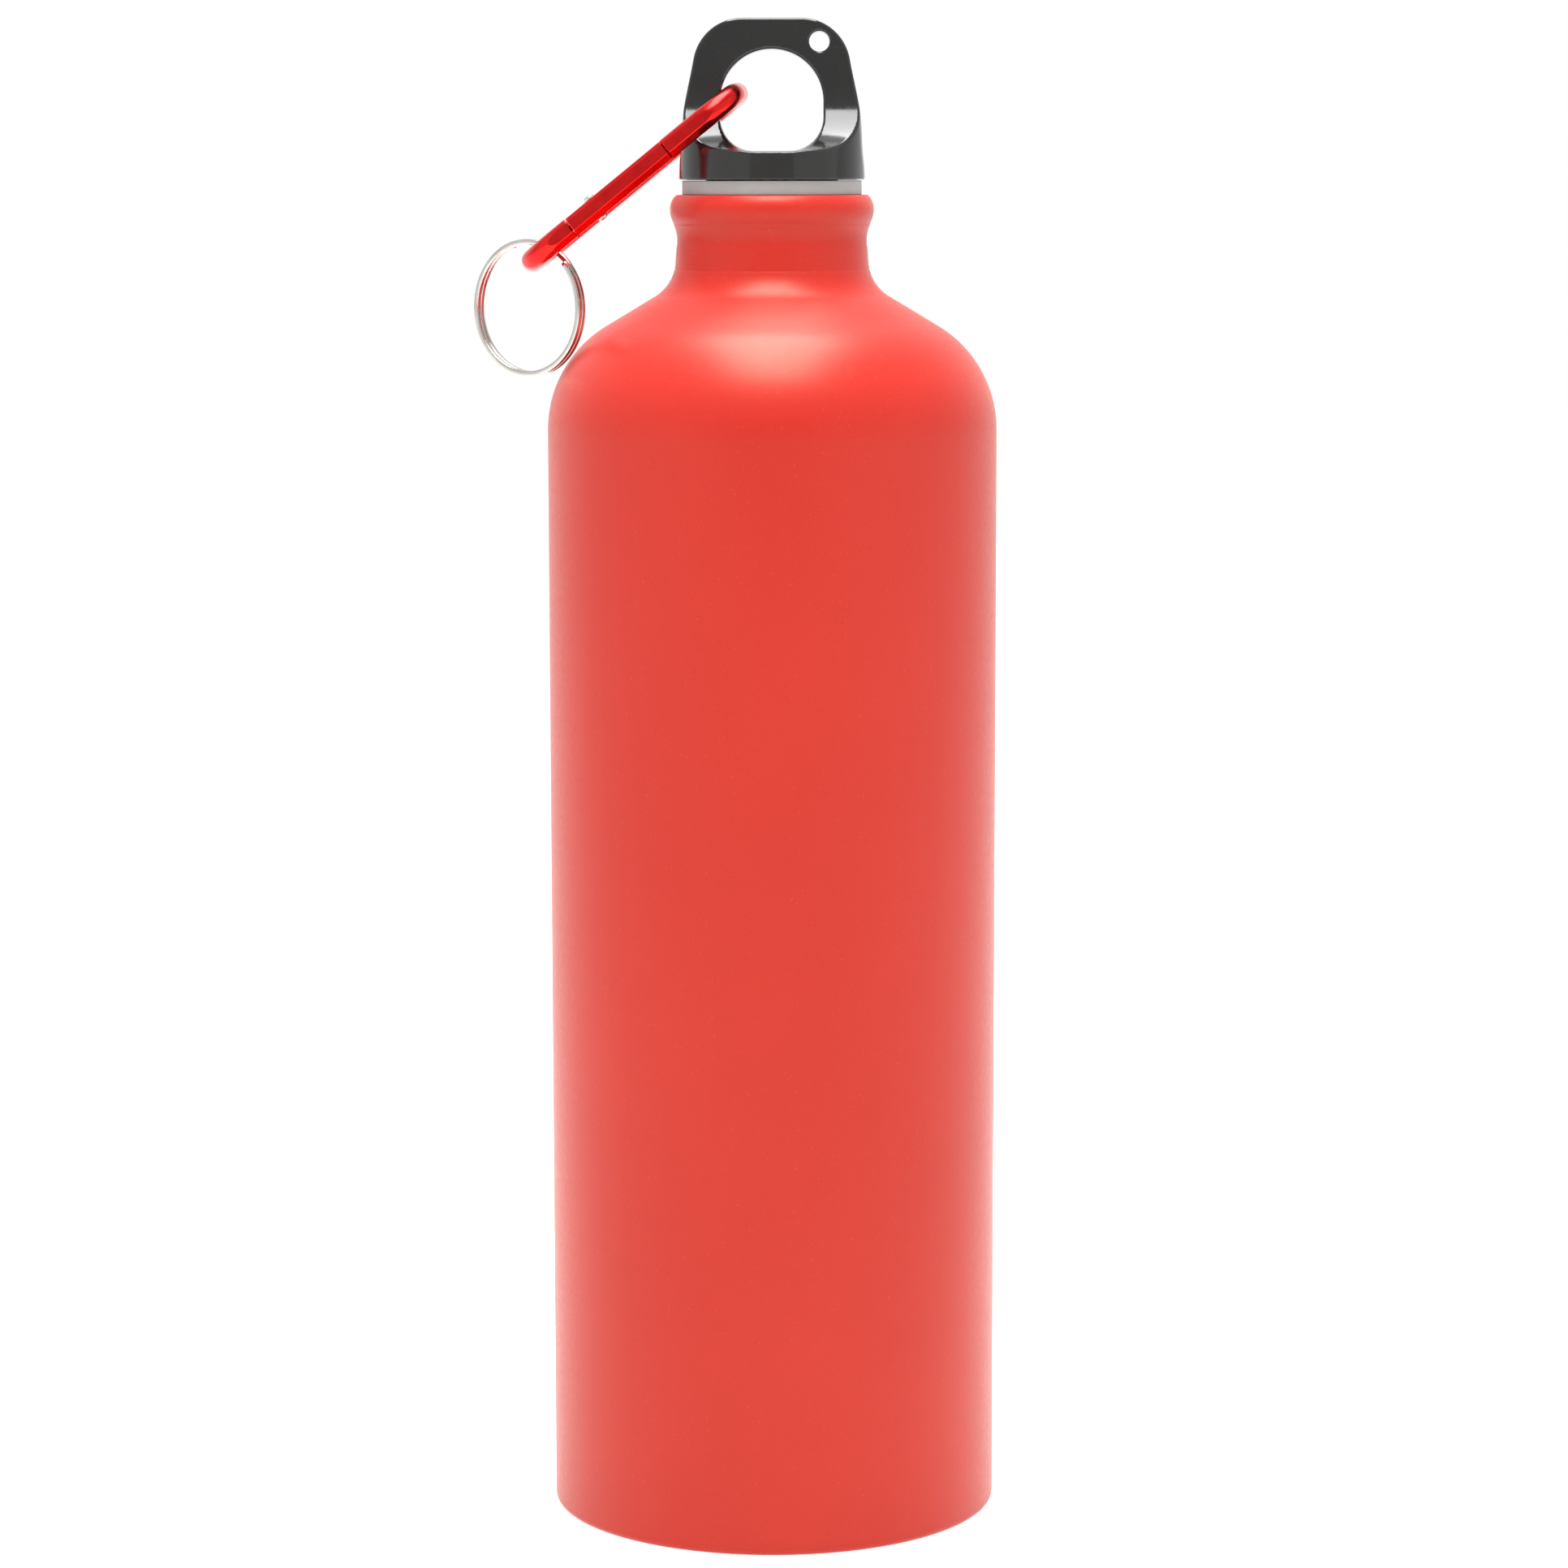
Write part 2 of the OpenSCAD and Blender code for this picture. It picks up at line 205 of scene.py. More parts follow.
def carve(name, f, low, high, h, place=None, relax=4):
    """A closed mesh of the surface where the distance f(x, y, z) is zero: one vertex in each grid cell
    that the surface crosses, then evened out and moved onto the surface, with normals from f."""
    low = np.array(low, float)
    count = np.ceil((np.array(high) - low) / h).astype(int) + 1
    xs, ys, zs = (low[a] + h * np.arange(count[a]) for a in range(3))
    value = np.broadcast_to(f(xs[:, None, None], ys[None, :, None], zs[None, None, :]), tuple(count))
    inside = value < 0
    cells, spots, quads = [], [], []
    shape = tuple(count - 1)
    for a in range(3):
        b, c = (a + 1) % 3, (a + 2) % 3
        first = [slice(None)] * 3
        second = [slice(None)] * 3
        first[a], second[a] = slice(0, -1), slice(1, None)
        v0, v1 = value[tuple(first)], value[tuple(second)]
        at = np.argwhere(inside[tuple(first)] != inside[tuple(second)])
        w0, w1 = v0[tuple(at.T)], v1[tuple(at.T)]
        spot = at.astype(float)
        spot[:, a] += w0 / (w0 - w1)
        four = []
        for db, dc in ((0, 0), (-1, 0), (-1, -1), (0, -1)):
            cell = at.copy()
            cell[:, b] += db
            cell[:, c] += dc
            flat = np.ravel_multi_index(tuple(cell.T), shape)
            four.append(flat)
            cells.append(flat)
            spots.append(spot)
        four = np.stack(four, 1)
        four[w0 > w1] = four[w0 > w1][:, ::-1]
        quads.append(four)
    cells, spots, quads = np.concatenate(cells), np.concatenate(spots), np.concatenate(quads)
    used, index = np.unique(cells, return_inverse=True)
    number = np.bincount(index)
    p = np.stack([np.bincount(index, spots[:, a]) / number for a in range(3)], 1) * h + low
    lookup = np.searchsorted(used, quads)
    pairs = np.concatenate([lookup[:, [0, 1]], lookup[:, [1, 2]], lookup[:, [2, 3]], lookup[:, [3, 0]]])
    pairs = np.unique(np.sort(pairs, 1), axis=0)
    ends, others = np.concatenate([pairs[:, 0], pairs[:, 1]]), np.concatenate([pairs[:, 1], pairs[:, 0]])
    degree = np.bincount(ends, minlength=len(p))
    for step in range(relax + 1):
        if step < relax:
            mean = np.stack([np.bincount(ends, p[others, a], len(p)) / degree for a in range(3)], 1)
            p = p + 0.5 * (mean - p)
        for _ in range(3):
            g = gradient(f, p)
            g2 = np.maximum((g * g).sum(1), 0.25)
            move = (f(*p.T) / g2)[:, None] * g
            p = p - np.clip(move, -0.4 * h, 0.4 * h)
    g = gradient(f, p)
    g /= np.maximum(np.linalg.norm(g, axis=1), 1e-9)[:, None]
    if place is not None:
        tip = place(p + g)
        p = place(p)
        g = tip - p
        g /= np.linalg.norm(g, axis=1)[:, None]
    return make_object(name, p, lookup, normals=g)


def finish_piece(obj, body, slot, material, *nodes):
    obj.data.materials.append(material)
    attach(obj, body)
    if nodes:
        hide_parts(*nodes)
    return obj


# ---------------------------------------------------------------- materials

class Nodes:
    """A material's node tree, with short ways to add the patterns that the pieces share."""

    def __init__(self, name, **values):
        self.mat = bpy.data.materials.new(name)
        self.mat.use_nodes = True
        self.tree = self.mat.node_tree
        self.shader = self.tree.nodes["Principled BSDF"]
        for key, value in values.items():
            self.shader.inputs[key.replace("_", " ")].default_value = value
        self.where = self.tree.nodes.new("ShaderNodeTexCoord").outputs["Object"]

    def add(self, kind, **inputs):
        node = self.tree.nodes.new(kind)
        for key, value in inputs.items():
            socket = node.inputs[key.replace("_", " ")]
            if isinstance(value, bpy.types.NodeSocket):
                self.tree.links.new(value, socket)
            else:
                socket.default_value = value
        return node

    def stretched(self, scale):
        return self.add("ShaderNodeMapping", Vector=self.where, Scale=scale).outputs[0]

    def noise(self, scale, detail=2.0, stretch=None, rough=0.5):
        where = self.where if stretch is None else self.stretched(stretch)
        return self.add("ShaderNodeTexNoise", Vector=where, Scale=scale, Detail=detail, Roughness=rough).outputs["Fac"]

    def spread(self, value, a, b, low, high):
        """value from a..b carried to low..high."""
        node = self.add("ShaderNodeMapRange", Value=value, From_Min=a, From_Max=b, To_Min=low, To_Max=high)
        return node.outputs[0]

    def blend(self, factor, one, two):
        node = self.tree.nodes.new("ShaderNodeMix")
        node.data_type = "RGBA"
        self.tree.links.new(factor, node.inputs[0])
        for socket, value in ((node.inputs[6], one), (node.inputs[7], two)):
            if isinstance(value, bpy.types.NodeSocket):
                self.tree.links.new(value, socket)
            else:
                socket.default_value = (*value, 1)
        return node.outputs[2]

    def set(self, name, value):
        self.tree.links.new(value, self.shader.inputs[name])

    def bump(self, height, distance, strength=1.0, under=None):
        node = self.add("ShaderNodeBump", Height=height, Distance=distance, Strength=strength)
        if under is not None:
            self.tree.links.new(under, node.inputs["Normal"])
        self.tree.links.new(node.outputs[0], self.shader.inputs["Normal"])
        return node.outputs[0]


def paint():
    n = Nodes("matte_red_paint", Roughness=0.42, IOR=1.43, Specular_Tint=(1.0, 0.90, 0.68, 1), Sheen_Weight=0.10,
              Sheen_Roughness=0.40, Sheen_Tint=(1.0, 0.84, 0.62, 1))
    broad = n.spread(n.noise(22, 3), 0.3, 0.7, 0, 1)
    red = n.blend(broad, (0.445, 0.0130, 0.0085), (0.475, 0.0160, 0.0105))
    fine = n.spread(n.noise(2600, 2), 0.66, 0.74, 0, 0.5)
    dark = n.spread(n.noise(1900, 2), 0.30, 0.24, 0, 0.35)
    red = n.blend(fine, red, (0.60, 0.066, 0.052))
    red = n.blend(dark, red, (0.36, 0.009, 0.007))
    n.set("Base Color", red)
    n.set("Roughness", n.spread(n.noise(900, 3), 0.3, 0.7, 0.35, 0.42))
    orange_peel = n.bump(n.noise(420, 2), 0.00002, 0.5)
    n.bump(n.noise(2300, 3), 0.000012, 0.8, orange_peel)
    return n.mat


def liner():
    n = Nodes("bare_lacquered_inside", Metallic=1.0)
    n.set("Base Color", n.blend(n.noise(60, 3), (0.62, 0.56, 0.44), (0.70, 0.63, 0.49)))
    n.set("Roughness", n.spread(n.noise(300, 4, (1, 1, 12)), 0.3, 0.7, 0.32, 0.45))
    n.bump(n.noise(500, 3, (1, 1, 10)), 0.00001, 0.6)
    return n.mat


def plastic(name, one, two, rough, peel=0.000006, scale=700.0, **values):
    n = Nodes(name, **values)
    n.set("Base Color", n.blend(n.spread(n.noise(180, 3), 0.35, 0.65, 0, 1), one, two))
    n.set("Roughness", n.spread(n.noise(650, 4), 0.3, 0.7, rough[0], rough[1]))
    n.bump(n.noise(scale, 3), peel, 0.7)
    return n.mat


def gloss_black():
    n = Nodes("gloss_black_plastic", IOR=1.5)
    speck = n.spread(n.noise(3100, 2), 0.70, 0.76, 0, 0.45)
    black = n.blend(n.noise(90, 3), (0.010, 0.010, 0.010), (0.015, 0.014, 0.013))
    n.set("Base Color", n.blend(speck, black, (0.07, 0.07, 0.065)))
    n.set("Roughness", n.spread(n.noise(500, 5), 0.3, 0.75, 0.09, 0.17))
    n.bump(n.noise(140, 2), 0.00002, 0.25)
    return n.mat


def metal(name, one, two, rough, grain, stretch, depth=0.000003):
    n = Nodes(name, Metallic=1.0)
    n.set("Base Color", n.blend(n.spread(n.noise(220, 3), 0.35, 0.65, 0, 1), one, two))
    n.set("Roughness", n.spread(n.noise(grain, 4, stretch), 0.3, 0.7, rough[0], rough[1]))
    n.bump(n.noise(grain * 1.6, 3, stretch), depth, 0.6)
    return n.mat


PAINT, LINER = paint(), liner()
INSERT = plastic("grey_insert_plastic", (0.310, 0.308, 0.300), (0.350, 0.346, 0.338), (0.42, 0.52))
SEAL = plastic("seal_silicone", (0.56, 0.56, 0.54), (0.62, 0.62, 0.60), (0.50, 0.62))
BLACK = gloss_black()
PLUG = plastic("black_plug_plastic", (0.012, 0.012, 0.012), (0.018, 0.017, 0.016), (0.24, 0.34))
RED = metal("red_anodised", (0.74, 0.018, 0.018), (0.80, 0.024, 0.022), (0.16, 0.24), 500, (1, 1, 1))
STEEL = metal("pin_steel", (0.62, 0.60, 0.58), (0.70, 0.68, 0.66), (0.20, 0.32), 900, (1, 1, 1))
NICKEL = metal("ring_nickel", (0.50, 0.465, 0.43), (0.60, 0.57, 0.54), (0.14, 0.24), 900, (1, 1, 1))


# ---------------------------------------------------------------- bottle

NECK_RISE = 41.6
SHOULDER_R, SHOULDER_SLOPE = 21.5, 31
BORE_R = 15.6
BOTTLE_SEGMENTS = 192


def bottle_outline():
    """The shell from the middle of the base, up the outside, over the lip and down the inside."""
    wall_top, wall = LIP_TOP - NECK_RISE, 1.0
    slope = SHOULDER_SLOPE
    sx, sr = BODY_R - SHOULDER_R, SHOULDER_R
    # the hollow fillet between shoulder and neck
    fx, fz, fr = 24.75, wall_top + 30.25, 7.65
    bore = BORE_R
    dome_r, dome = 150.0, 4.2
    foot = math.degrees(math.asin(35.2 / dome_r))
    out = arc(0, dome - dome_r, dome_r, 90, 90 - foot, 14)
    out += [(35.6, 0.02), (36.2, 0), (38.6, 0)] + arc(BODY_R - 1.2, 1.2, 1.2, -90, 0, 8)
    out += [(BODY_R, 1.5)]
    out += [(BODY_R, z) for z in np.linspace(8, wall_top - 4, 40)]
    out += arc(sx, wall_top, sr, 0, 90 - slope, 40)
    out += arc(fx, fz, fr, 270 - slope, 187, 26)
    out += arc(23.4, fz + 3.35, 6.6, 192, 157.5, 18)
    out += arc(13.07, wall_top + 39.1, 5, -22.3, 0, 10)
    top = math.degrees(math.asin((NECK_RISE - 39.1 - 0.35) / 3.4))
    out += arc(14.67, wall_top + 39.1, 3.4, 0, top, 14)[1:]
    lip_x = 14.67 + 3.4 * math.cos(math.radians(top)) - 0.42
    out += [(lip_x + 0.16, LIP_TOP - 0.12), (lip_x, LIP_TOP - 0.02), (lip_x - 0.2, LIP_TOP), (bore + 0.2, LIP_TOP)]
    inner = [(bore + 0.05, LIP_TOP - 0.05), (bore, LIP_TOP - 0.2), (bore, LIP_TOP - 1)]
    inner += [(bore, z) for z in np.linspace(LIP_TOP - 2, fz + 0.5, 6)]
    inner += arc(fx, fz, fx - bore, 180, 270 - slope, 18)
    inner += arc(sx, wall_top, sr - wall, 90 - slope, 0, 30)
    inner += [(BODY_R - wall, z) for z in np.linspace(wall_top - 4, 6, 30)]
    inner += arc(BODY_R - wall - 3, 4, 3, 0, -90, 8)
    inner += arc(0, dome + wall - dome_r, dome_r, 90 - foot, 90, 14)
    return clean(out), clean(inner)


def clean(pts):
    """The outline without points that nearly coincide."""
    kept = [pts[0]]
    for p in pts[1:]:
        if math.dist(p, kept[-1]) > 0.02:
            kept.append(p)
    return kept


def neck_marks(r, z):
    """Two shallow lines that rolling the neck leaves around it."""
    for height in (LIP_TOP - 5.0, LIP_TOP - 13.1):
        r = r - 0.05 * math.exp(-((z - height) / 0.22) ** 2)
    return r


outer, inner = bottle_outline()
below = [p for p in outer if not (p[1] > LIP_TOP - 20 and p[0] < 30)]
necks = split_long([p for p in outer if p[1] > LIP_TOP - 20 and p[0] < 30], 0.25, False)
outer = below + [(neck_marks(r, z), z) for r, z in necks]
outer[0] = (0.0, outer[0][1])
inner[-1] = (0.0, inner[-1][1])
bottle = revolve("bottle_shell", outer + inner, BOTTLE_SEGMENTS, False)
bottle.data.materials.append(PAINT)
bottle.data.materials.append(LINER)
first_inner = len(outer)
row_of_face = np.arange(len(bottle.data.polygons)) // BOTTLE_SEGMENTS
bottle.data.polygons.foreach_set("material_index", (row_of_face >= first_inner).astype(np.int32))
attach(bottle, "bottle")
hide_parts("bottle_body")


# ---------------------------------------------------------------- threads, insert, seal and plug

PITCH = 4.0
CORE_R, CREST_R, NUT_R, ROOT_R = 11.7, 13.0, 12.0, 13.3
PLUG_TURNS, SLEEVE_TURNS = 2, 2.5
COLLAR_R, SLEEVE_R = 15.9, 15.55
THREAD_STEP = 0.16
THREAD_Z = PLUG_Z + 1.9
# the collar is drawn this much higher than in CAD, so no light shows between it and the cap
COLLAR_RISE = 0.2


def ridge_height(z, angles, z0, turns):
    """From 0 to 1, how far the screw ridge stands out at height z, at each angle."""
    best = np.zeros(len(angles))
    for k in range(int(turns) + 1):
        turned = angles / (2 * math.pi) + k
        fade = np.clip(np.minimum(turned, turns - turned) * 12 + 0.05, 0, 1)
        away = np.abs(z - (z0 + PITCH * turned))
        flank = np.clip((1.3 - away) / 0.75, 0, 1)
        flank = flank * flank * (3 - 2 * flank)
        best = np.maximum(best, np.where((turned >= 0) & (turned <= turns), fade * flank, 0))
    return best


def insert_piece():
    top_z = MOUTH_Z + COLLAR_RISE
    inside = [(ROOT_R + 0.85, top_z, 0.1), (ROOT_R, top_z - 0.85, 0.15)]
    outline = [(COLLAR_R, LIP_TOP + 0.02, 0.12), (COLLAR_R, top_z, 0.16)] + inside
    outline += [(ROOT_R, SLEEVE_Z, 0.2), (SLEEVE_R, SLEEVE_Z, 0.3), (SLEEVE_R, LIP_TOP + 0.02, 0)]
    pts = rounded(outline, True, 4)
    out = []
    for p, q in zip(pts, pts[1:] + pts[:1]):
        out.append(p)
        if abs(p[0] - ROOT_R) < 1e-6 and abs(q[0] - ROOT_R) < 1e-6:
            k = int(abs(p[1] - q[1]) / THREAD_STEP)
            out += [(ROOT_R, p[1] + (q[1] - p[1]) * j / k) for j in range(1, k)]

    def shift(r, z, angles):
        if abs(r - ROOT_R) > 1e-6:
            return np.full(len(angles), r)
        return r - (ROOT_R - NUT_R) * ridge_height(z, angles, THREAD_Z - PITCH / 2, SLEEVE_TURNS)
    return revolve("neck_sleeve", out, 160, True, shift)


def plug_piece():
    outline = [(0, PLUG_Z + 12, 0), (8, PLUG_Z + 12, 0.8), (8, PLUG_Z + 1, 0.3), (9.1, PLUG_Z, 0.2),
               (CORE_R, PLUG_Z, 0.5), (CORE_R, CAP_Z - 0.02, 0.1), (9, CAP_Z - 0.02, 0.1), (9, CAP_Z + 3, 0.3),
               (0, CAP_Z + 3, 0)]
    pts = rounded(outline, False, 4)
    out = []
    for p, q in zip(pts, pts[1:]):
        out.append(p)
        if abs(p[0] - CORE_R) < 1e-6 and abs(q[0] - CORE_R) < 1e-6:
            k = max(1, int(abs(p[1] - q[1]) / THREAD_STEP))
            out += [(CORE_R, p[1] + (q[1] - p[1]) * j / k) for j in range(1, k)]
    out.append(pts[-1])

    def shift(r, z, angles):
        if abs(r - CORE_R) > 1e-6:
            return np.full(len(angles), r)
        return r + (CREST_R - CORE_R) * ridge_height(z, angles, THREAD_Z, PLUG_TURNS)
    return revolve("screw_plug", out, 160, False, shift)


finish_piece(insert_piece(), "bottle", "insert_plastic", INSERT, "neck_insert")
finish_piece(plug_piece(), "cap", "plug_plastic", PLUG, "cap_plug")
seal_low, seal_high = (v.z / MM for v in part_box("seal_ring"))
SEAL_IN, SEAL_OUT, SEAL_EDGE = 12, 15.3, 0.35
seal_outline = [(SEAL_IN, seal_low, SEAL_EDGE), (SEAL_OUT, seal_low, SEAL_EDGE),
                (SEAL_OUT, seal_high, SEAL_EDGE), (SEAL_IN, seal_high, SEAL_EDGE)]
seal = revolve("sealing_ring", rounded(seal_outline, True, 5), 128, True)
finish_piece(seal, "seal", "seal_rubber", SEAL, "seal_ring")


# ---------------------------------------------------------------- cap

CAP_R, LOOP_HALF = 16.55, 3.5
# finger hole: its round top, the height of that circle's middle, its low corners and its floor
HOLE_R, HOLE_T, LOW_R, FLOOR_T = 9.1, 13.7, 6.0, 5
LANYARD_R, LANYARD_X, LANYARD_T = 1.8, 8.4, 24.1
SCOOP_R = CAP_R - LOOP_HALF
SCOOP_Z = FLOOR_T + SCOOP_R


def hermite(t, x0, x1, y0, y1, s0, s1):
    """A cubic from (x0, y0) to (x1, y1) with slopes s0 and s1."""
    u = (t - x0) / (x1 - x0)
    d = x1 - x0
    return (y0 * (1 + 2 * u) * (1 - u) ** 2 + s0 * d * u * (1 - u) ** 2
            + y1 * u * u * (3 - 2 * u) + s1 * d * u * u * (u - 1))


def loop_half_width(t):
    """Half the width of the loop's outline at height t above the cap's bottom."""
    # height, half width and slope
    knots = ((0.0, 16.75, 0.0), (1.6, 16.62, -0.09), (5.2, 16.12, -0.09), (10.8, 15.70, -0.12),
             (21.01, 13.77, -0.18))
    w = np.full_like(t, knots[0][1])
    for (x0, y0, s0), (x1, y1, s1) in zip(knots, knots[1:]):
        w = np.where((t >= x0) & (t <= x1), hermite(t, x0, x1, y0, y1, s0, s1), w)
    x, y, s = knots[-1]
    return np.where(t > x, y + s * (t - x), w)


def cap_distance(x, y, z):
    """Distance past the cap's surface: loop and round base, less scoops, holes, seal groove and plug socket."""
    t = z - CAP_Z
    ax, ay, r = np.abs(x), np.abs(y), np.hypot(x, y)
    height = CAP_TOP - CAP_Z
    corner_r, corner_x = 8.7, 5.2
    corner_t = height - corner_r
    side = ax - loop_half_width(t)
    qx, qt = ax - corner_x, t - corner_t
    in_corner = (qx > 0) & (qt > qx * math.tan(math.radians(10)))
    outline = np.where(in_corner, np.hypot(qx, qt) - corner_r, side)
    outline = np.where((qx <= 0) & (qt > 0), np.maximum(t - height, side), outline)
    d = smax(outline, r - CAP_R, 0.6)
    above = ay - LOOP_HALF
    below = SCOOP_R - np.hypot(LOOP_HALF + SCOOP_R - ay, t - SCOOP_Z)
    d = smax(d, np.where(t > SCOOP_Z, above, below), 0.5)
    q1, q2 = ax - (HOLE_R - LOW_R), FLOOR_T + LOW_R - t
    low_hole = np.hypot(np.maximum(q1, 0), np.maximum(q2, 0)) + np.minimum(np.maximum(q1, q2), 0) - LOW_R
    hole = np.where(t > HOLE_T, np.hypot(x, t - HOLE_T) - HOLE_R, low_hole)
    d = smax(d, -hole, 0.45)
    d = smax(d, LANYARD_R - np.hypot(x - LANYARD_X, t - LANYARD_T), 0.3)
    d = smax(d, -t, 0.22)
    groove = np.maximum(np.abs(r - 13.675) - 1.825, t - 2.1)
    d = smax(d, -groove, 0.12)
    return smax(d, -np.maximum(r - 9.05, t - 3.05), 0.12)


cap_low, cap_high = (np.array(v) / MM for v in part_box("cap_shell"))
cap = carve("screw_cap", cap_distance, cap_low - 1.1, cap_high + 1.1, 0.3)
finish_piece(cap, "cap", "cap_gloss", BLACK, "cap_shell")


# ---------------------------------------------------------------- carabiner

CLIP_AT = np.array(joints["carabiner_swing"]["pos_m"]) / MM
CLIP_Y = np.array(joints["carabiner_swing"]["axis"])
CLIP_Z = np.array(joints["gate_open"]["axis"])
CLIP_X = np.cross(CLIP_Y, CLIP_Z)
CLIP = np.stack([CLIP_X, CLIP_Y, CLIP_Z])
PIN = CLIP @ (np.array(joints["gate_open"]["pos_m"]) / MM - CLIP_AT)
CLIP_LENGTH, CLIP_HALF, BEND_R, BAR_R, GAP = 46.0, 12.0, 7.0, 1.95, 0.3
JOINT_LOW, JOINT_TOP = -CLIP_LENGTH + 9.7, -14.8
# the gap at the gate's upper end, drawn finer than in CAD
UPPER_GAP = 0.16
GATE_X0, GATE_X1 = JOINT_LOW + GAP / 2, JOINT_TOP - UPPER_GAP / 2
CAM, CAM_R = (1.15, 0.85), 0.55
PLUNGER_Y, PLUNGER_R = PIN[1] + 0.4, 0.5
PLUNGER_X = PIN[0] + CAM[0] + CAM_R + GAP
SPRING_X = PLUNGER_X + 2.2
SPRING_END = SPRING_X + 4


def in_clip(p):
    """Points of the carabiner's own frame, carried to the row frame, in millimetres."""
    return CLIP_AT + np.asarray(p) @ CLIP


def face(y, z, angle, offset):
    """Distance past a flat of the front bar whose normal leans from the front by angle degrees, up being positive."""
    a = math.radians(angle)
    return -(y + CLIP_HALF) * math.cos(a) + z * math.sin(a) - offset


def box_distance(x, y, z, x0, x1, y0, y1, z0, z1):
    return np.maximum(np.maximum(np.maximum(x0 - x, x - x1), np.maximum(y0 - y, y - y1)), np.maximum(z0 - z, z - z1))


def frame_distance(x, y, z):
    """Distance past the bent bar, with the gate's gap, the tongue that carries the pin, and the upper lap."""
    qx = np.abs(x + CLIP_LENGTH / 2) - (CLIP_LENGTH / 2 - BEND_R)
    qy = np.abs(y) - (CLIP_HALF - BEND_R)
    line = np.hypot(np.maximum(qx, 0), np.maximum(qy, 0)) + np.minimum(np.maximum(qx, qy), 0) - BEND_R
    bar = np.hypot(line, z) - BAR_R
    bar = smax(bar, face(y, z, 10, BAR_R - 0.28), 0.06)
    bar = smax(bar, face(y, z, -46, BAR_R - 0.16), 0.06)
    # the gap that the gate fills
    gap = np.minimum(np.minimum(x - JOINT_LOW + GAP / 2, JOINT_TOP + UPPER_GAP / 2 - x), -y - 8.0)
    bar = smax(bar, gap, 0.08)
    u, v = x - PIN[0], y - PIN[1]
    tongue = np.hypot(u, v) - 1.35
    tongue = np.minimum(tongue, np.hypot(u - CAM[0], v - CAM[1]) - CAM_R)
    along = np.clip((u * CAM[0] + v * CAM[1]) / (CAM[0] ** 2 + CAM[1] ** 2), 0, 1)
    tongue = np.minimum(tongue, np.hypot(u - along * CAM[0], v - along * CAM[1]) - (0.95 - 0.4 * along))
    tongue = np.minimum(tongue, np.maximum(np.maximum(JOINT_LOW - PIN[0] - 1.5 - u, u), np.abs(v) - 1.35))
    d = np.minimum(bar, smax(tongue, np.abs(z) - 0.6, 0.1))
    lap = box_distance(x, y, z, JOINT_TOP - 1, JOINT_TOP + 2.75, -CLIP_HALF - GAP / 2, -CLIP_HALF + 2.85, -3, 3)
    d = smax(d, -lap, 0.06)
    return smax(d, 0.63 - np.hypot(u, v), 0.06)


def gate_distance(x, y, z):
    """Distance past the gate, with its channel for the tongue, pin hole and plunger bore."""
    s = np.hypot(y + CLIP_HALF, z) - 2.1
    s = smax(s, np.maximum(np.abs(z) - 1.85, y + CLIP_HALF - 1.85), 0.12)
    s = smax(s, face(y, z, 10, 1.80), 0.08)
    s = smax(s, face(y, z, -46, 1.86), 0.08)
    main = smax(smax(s, GATE_X0 - x, 0.16), x - GATE_X1, 0.05)
    tail = smax(s, np.maximum(np.maximum(GATE_X1 - 2 - x, x - GATE_X1 - 2.4), -CLIP_HALF + GAP / 2 - y), 0.12)
    d = np.minimum(main, tail)
    channel = box_distance(x, y, z, GATE_X0 - 1, PIN[0] + 2.6, -CLIP_HALF - 1.38, -CLIP_HALF + 2.62, -0.9, 0.9)
    d = smax(d, -channel, 0.08)
    u, v, a = x - PIN[0], y - PIN[1], GATE_X0 - PIN[0]
    slant = ((u - a + 0.1) * 1.4 - (v - 0.2) * 0.5) / math.hypot(1.4, 0.5)
    relief = np.maximum(np.maximum(0.2 - v, u - a - 0.4), slant)
    d = smax(d, -relief, 0.08)
    d = smax(d, 0.65 - np.hypot(u, v), 0.06)
    bore = np.maximum(np.hypot(y - PLUNGER_Y, z) - PLUNGER_R - 0.05, np.maximum(PIN[0] + 2.5 - x, x - SPRING_END - 0.1))
    return smax(d, -bore, 0.05)


clip_frame = carve("carabiner_bar", frame_distance, (-CLIP_LENGTH - 2.6, -CLIP_HALF - 2.6, -2.5),
                   (2.6, CLIP_HALF + 2.6, 2.5), 0.17, in_clip)
finish_piece(clip_frame, "carabiner", "red_anodised", RED, "carabiner_frame")
clip_gate = carve("carabiner_gate_piece", gate_distance, (GATE_X0 - 0.5, -CLIP_HALF - 2.4, -2.4),
                  (GATE_X1 + 3.0, -CLIP_HALF + 2.4, 2.4), 0.11, in_clip)
finish_piece(clip_gate, "gate", "red_anodised", RED, "carabiner_gate")



def at_pin(p):
    return in_clip(p + np.array((PIN[0], PIN[1], 0)))


# half the pin: its domed head and its shank, as (radius, height, corner)
pin_outline = [(0, -2.52, 0), (0.55, -2.50, 0.2), (0.86, -2.33, 0.15), (1.0, -2.08, 0.1), (1.0, -1.92, 0.05),
               (0.6, -1.92, 0.03)]
pin_outline += [(x, -z, r) for x, z, r in pin_outline[::-1]]
rivet = revolve("gate_pin", rounded(pin_outline, False, 4, 0.05), 48, False, place=at_pin)
finish_piece(rivet, "carabiner", "pin_steel", STEEL, "gate_rivet")


def along_clip(p):
    """Points turned about Z, laid along the carabiner's length at the plunger's place."""
    return in_clip(np.stack([p[:, 2], PLUNGER_Y + p[:, 1], -p[:, 0]], 1))


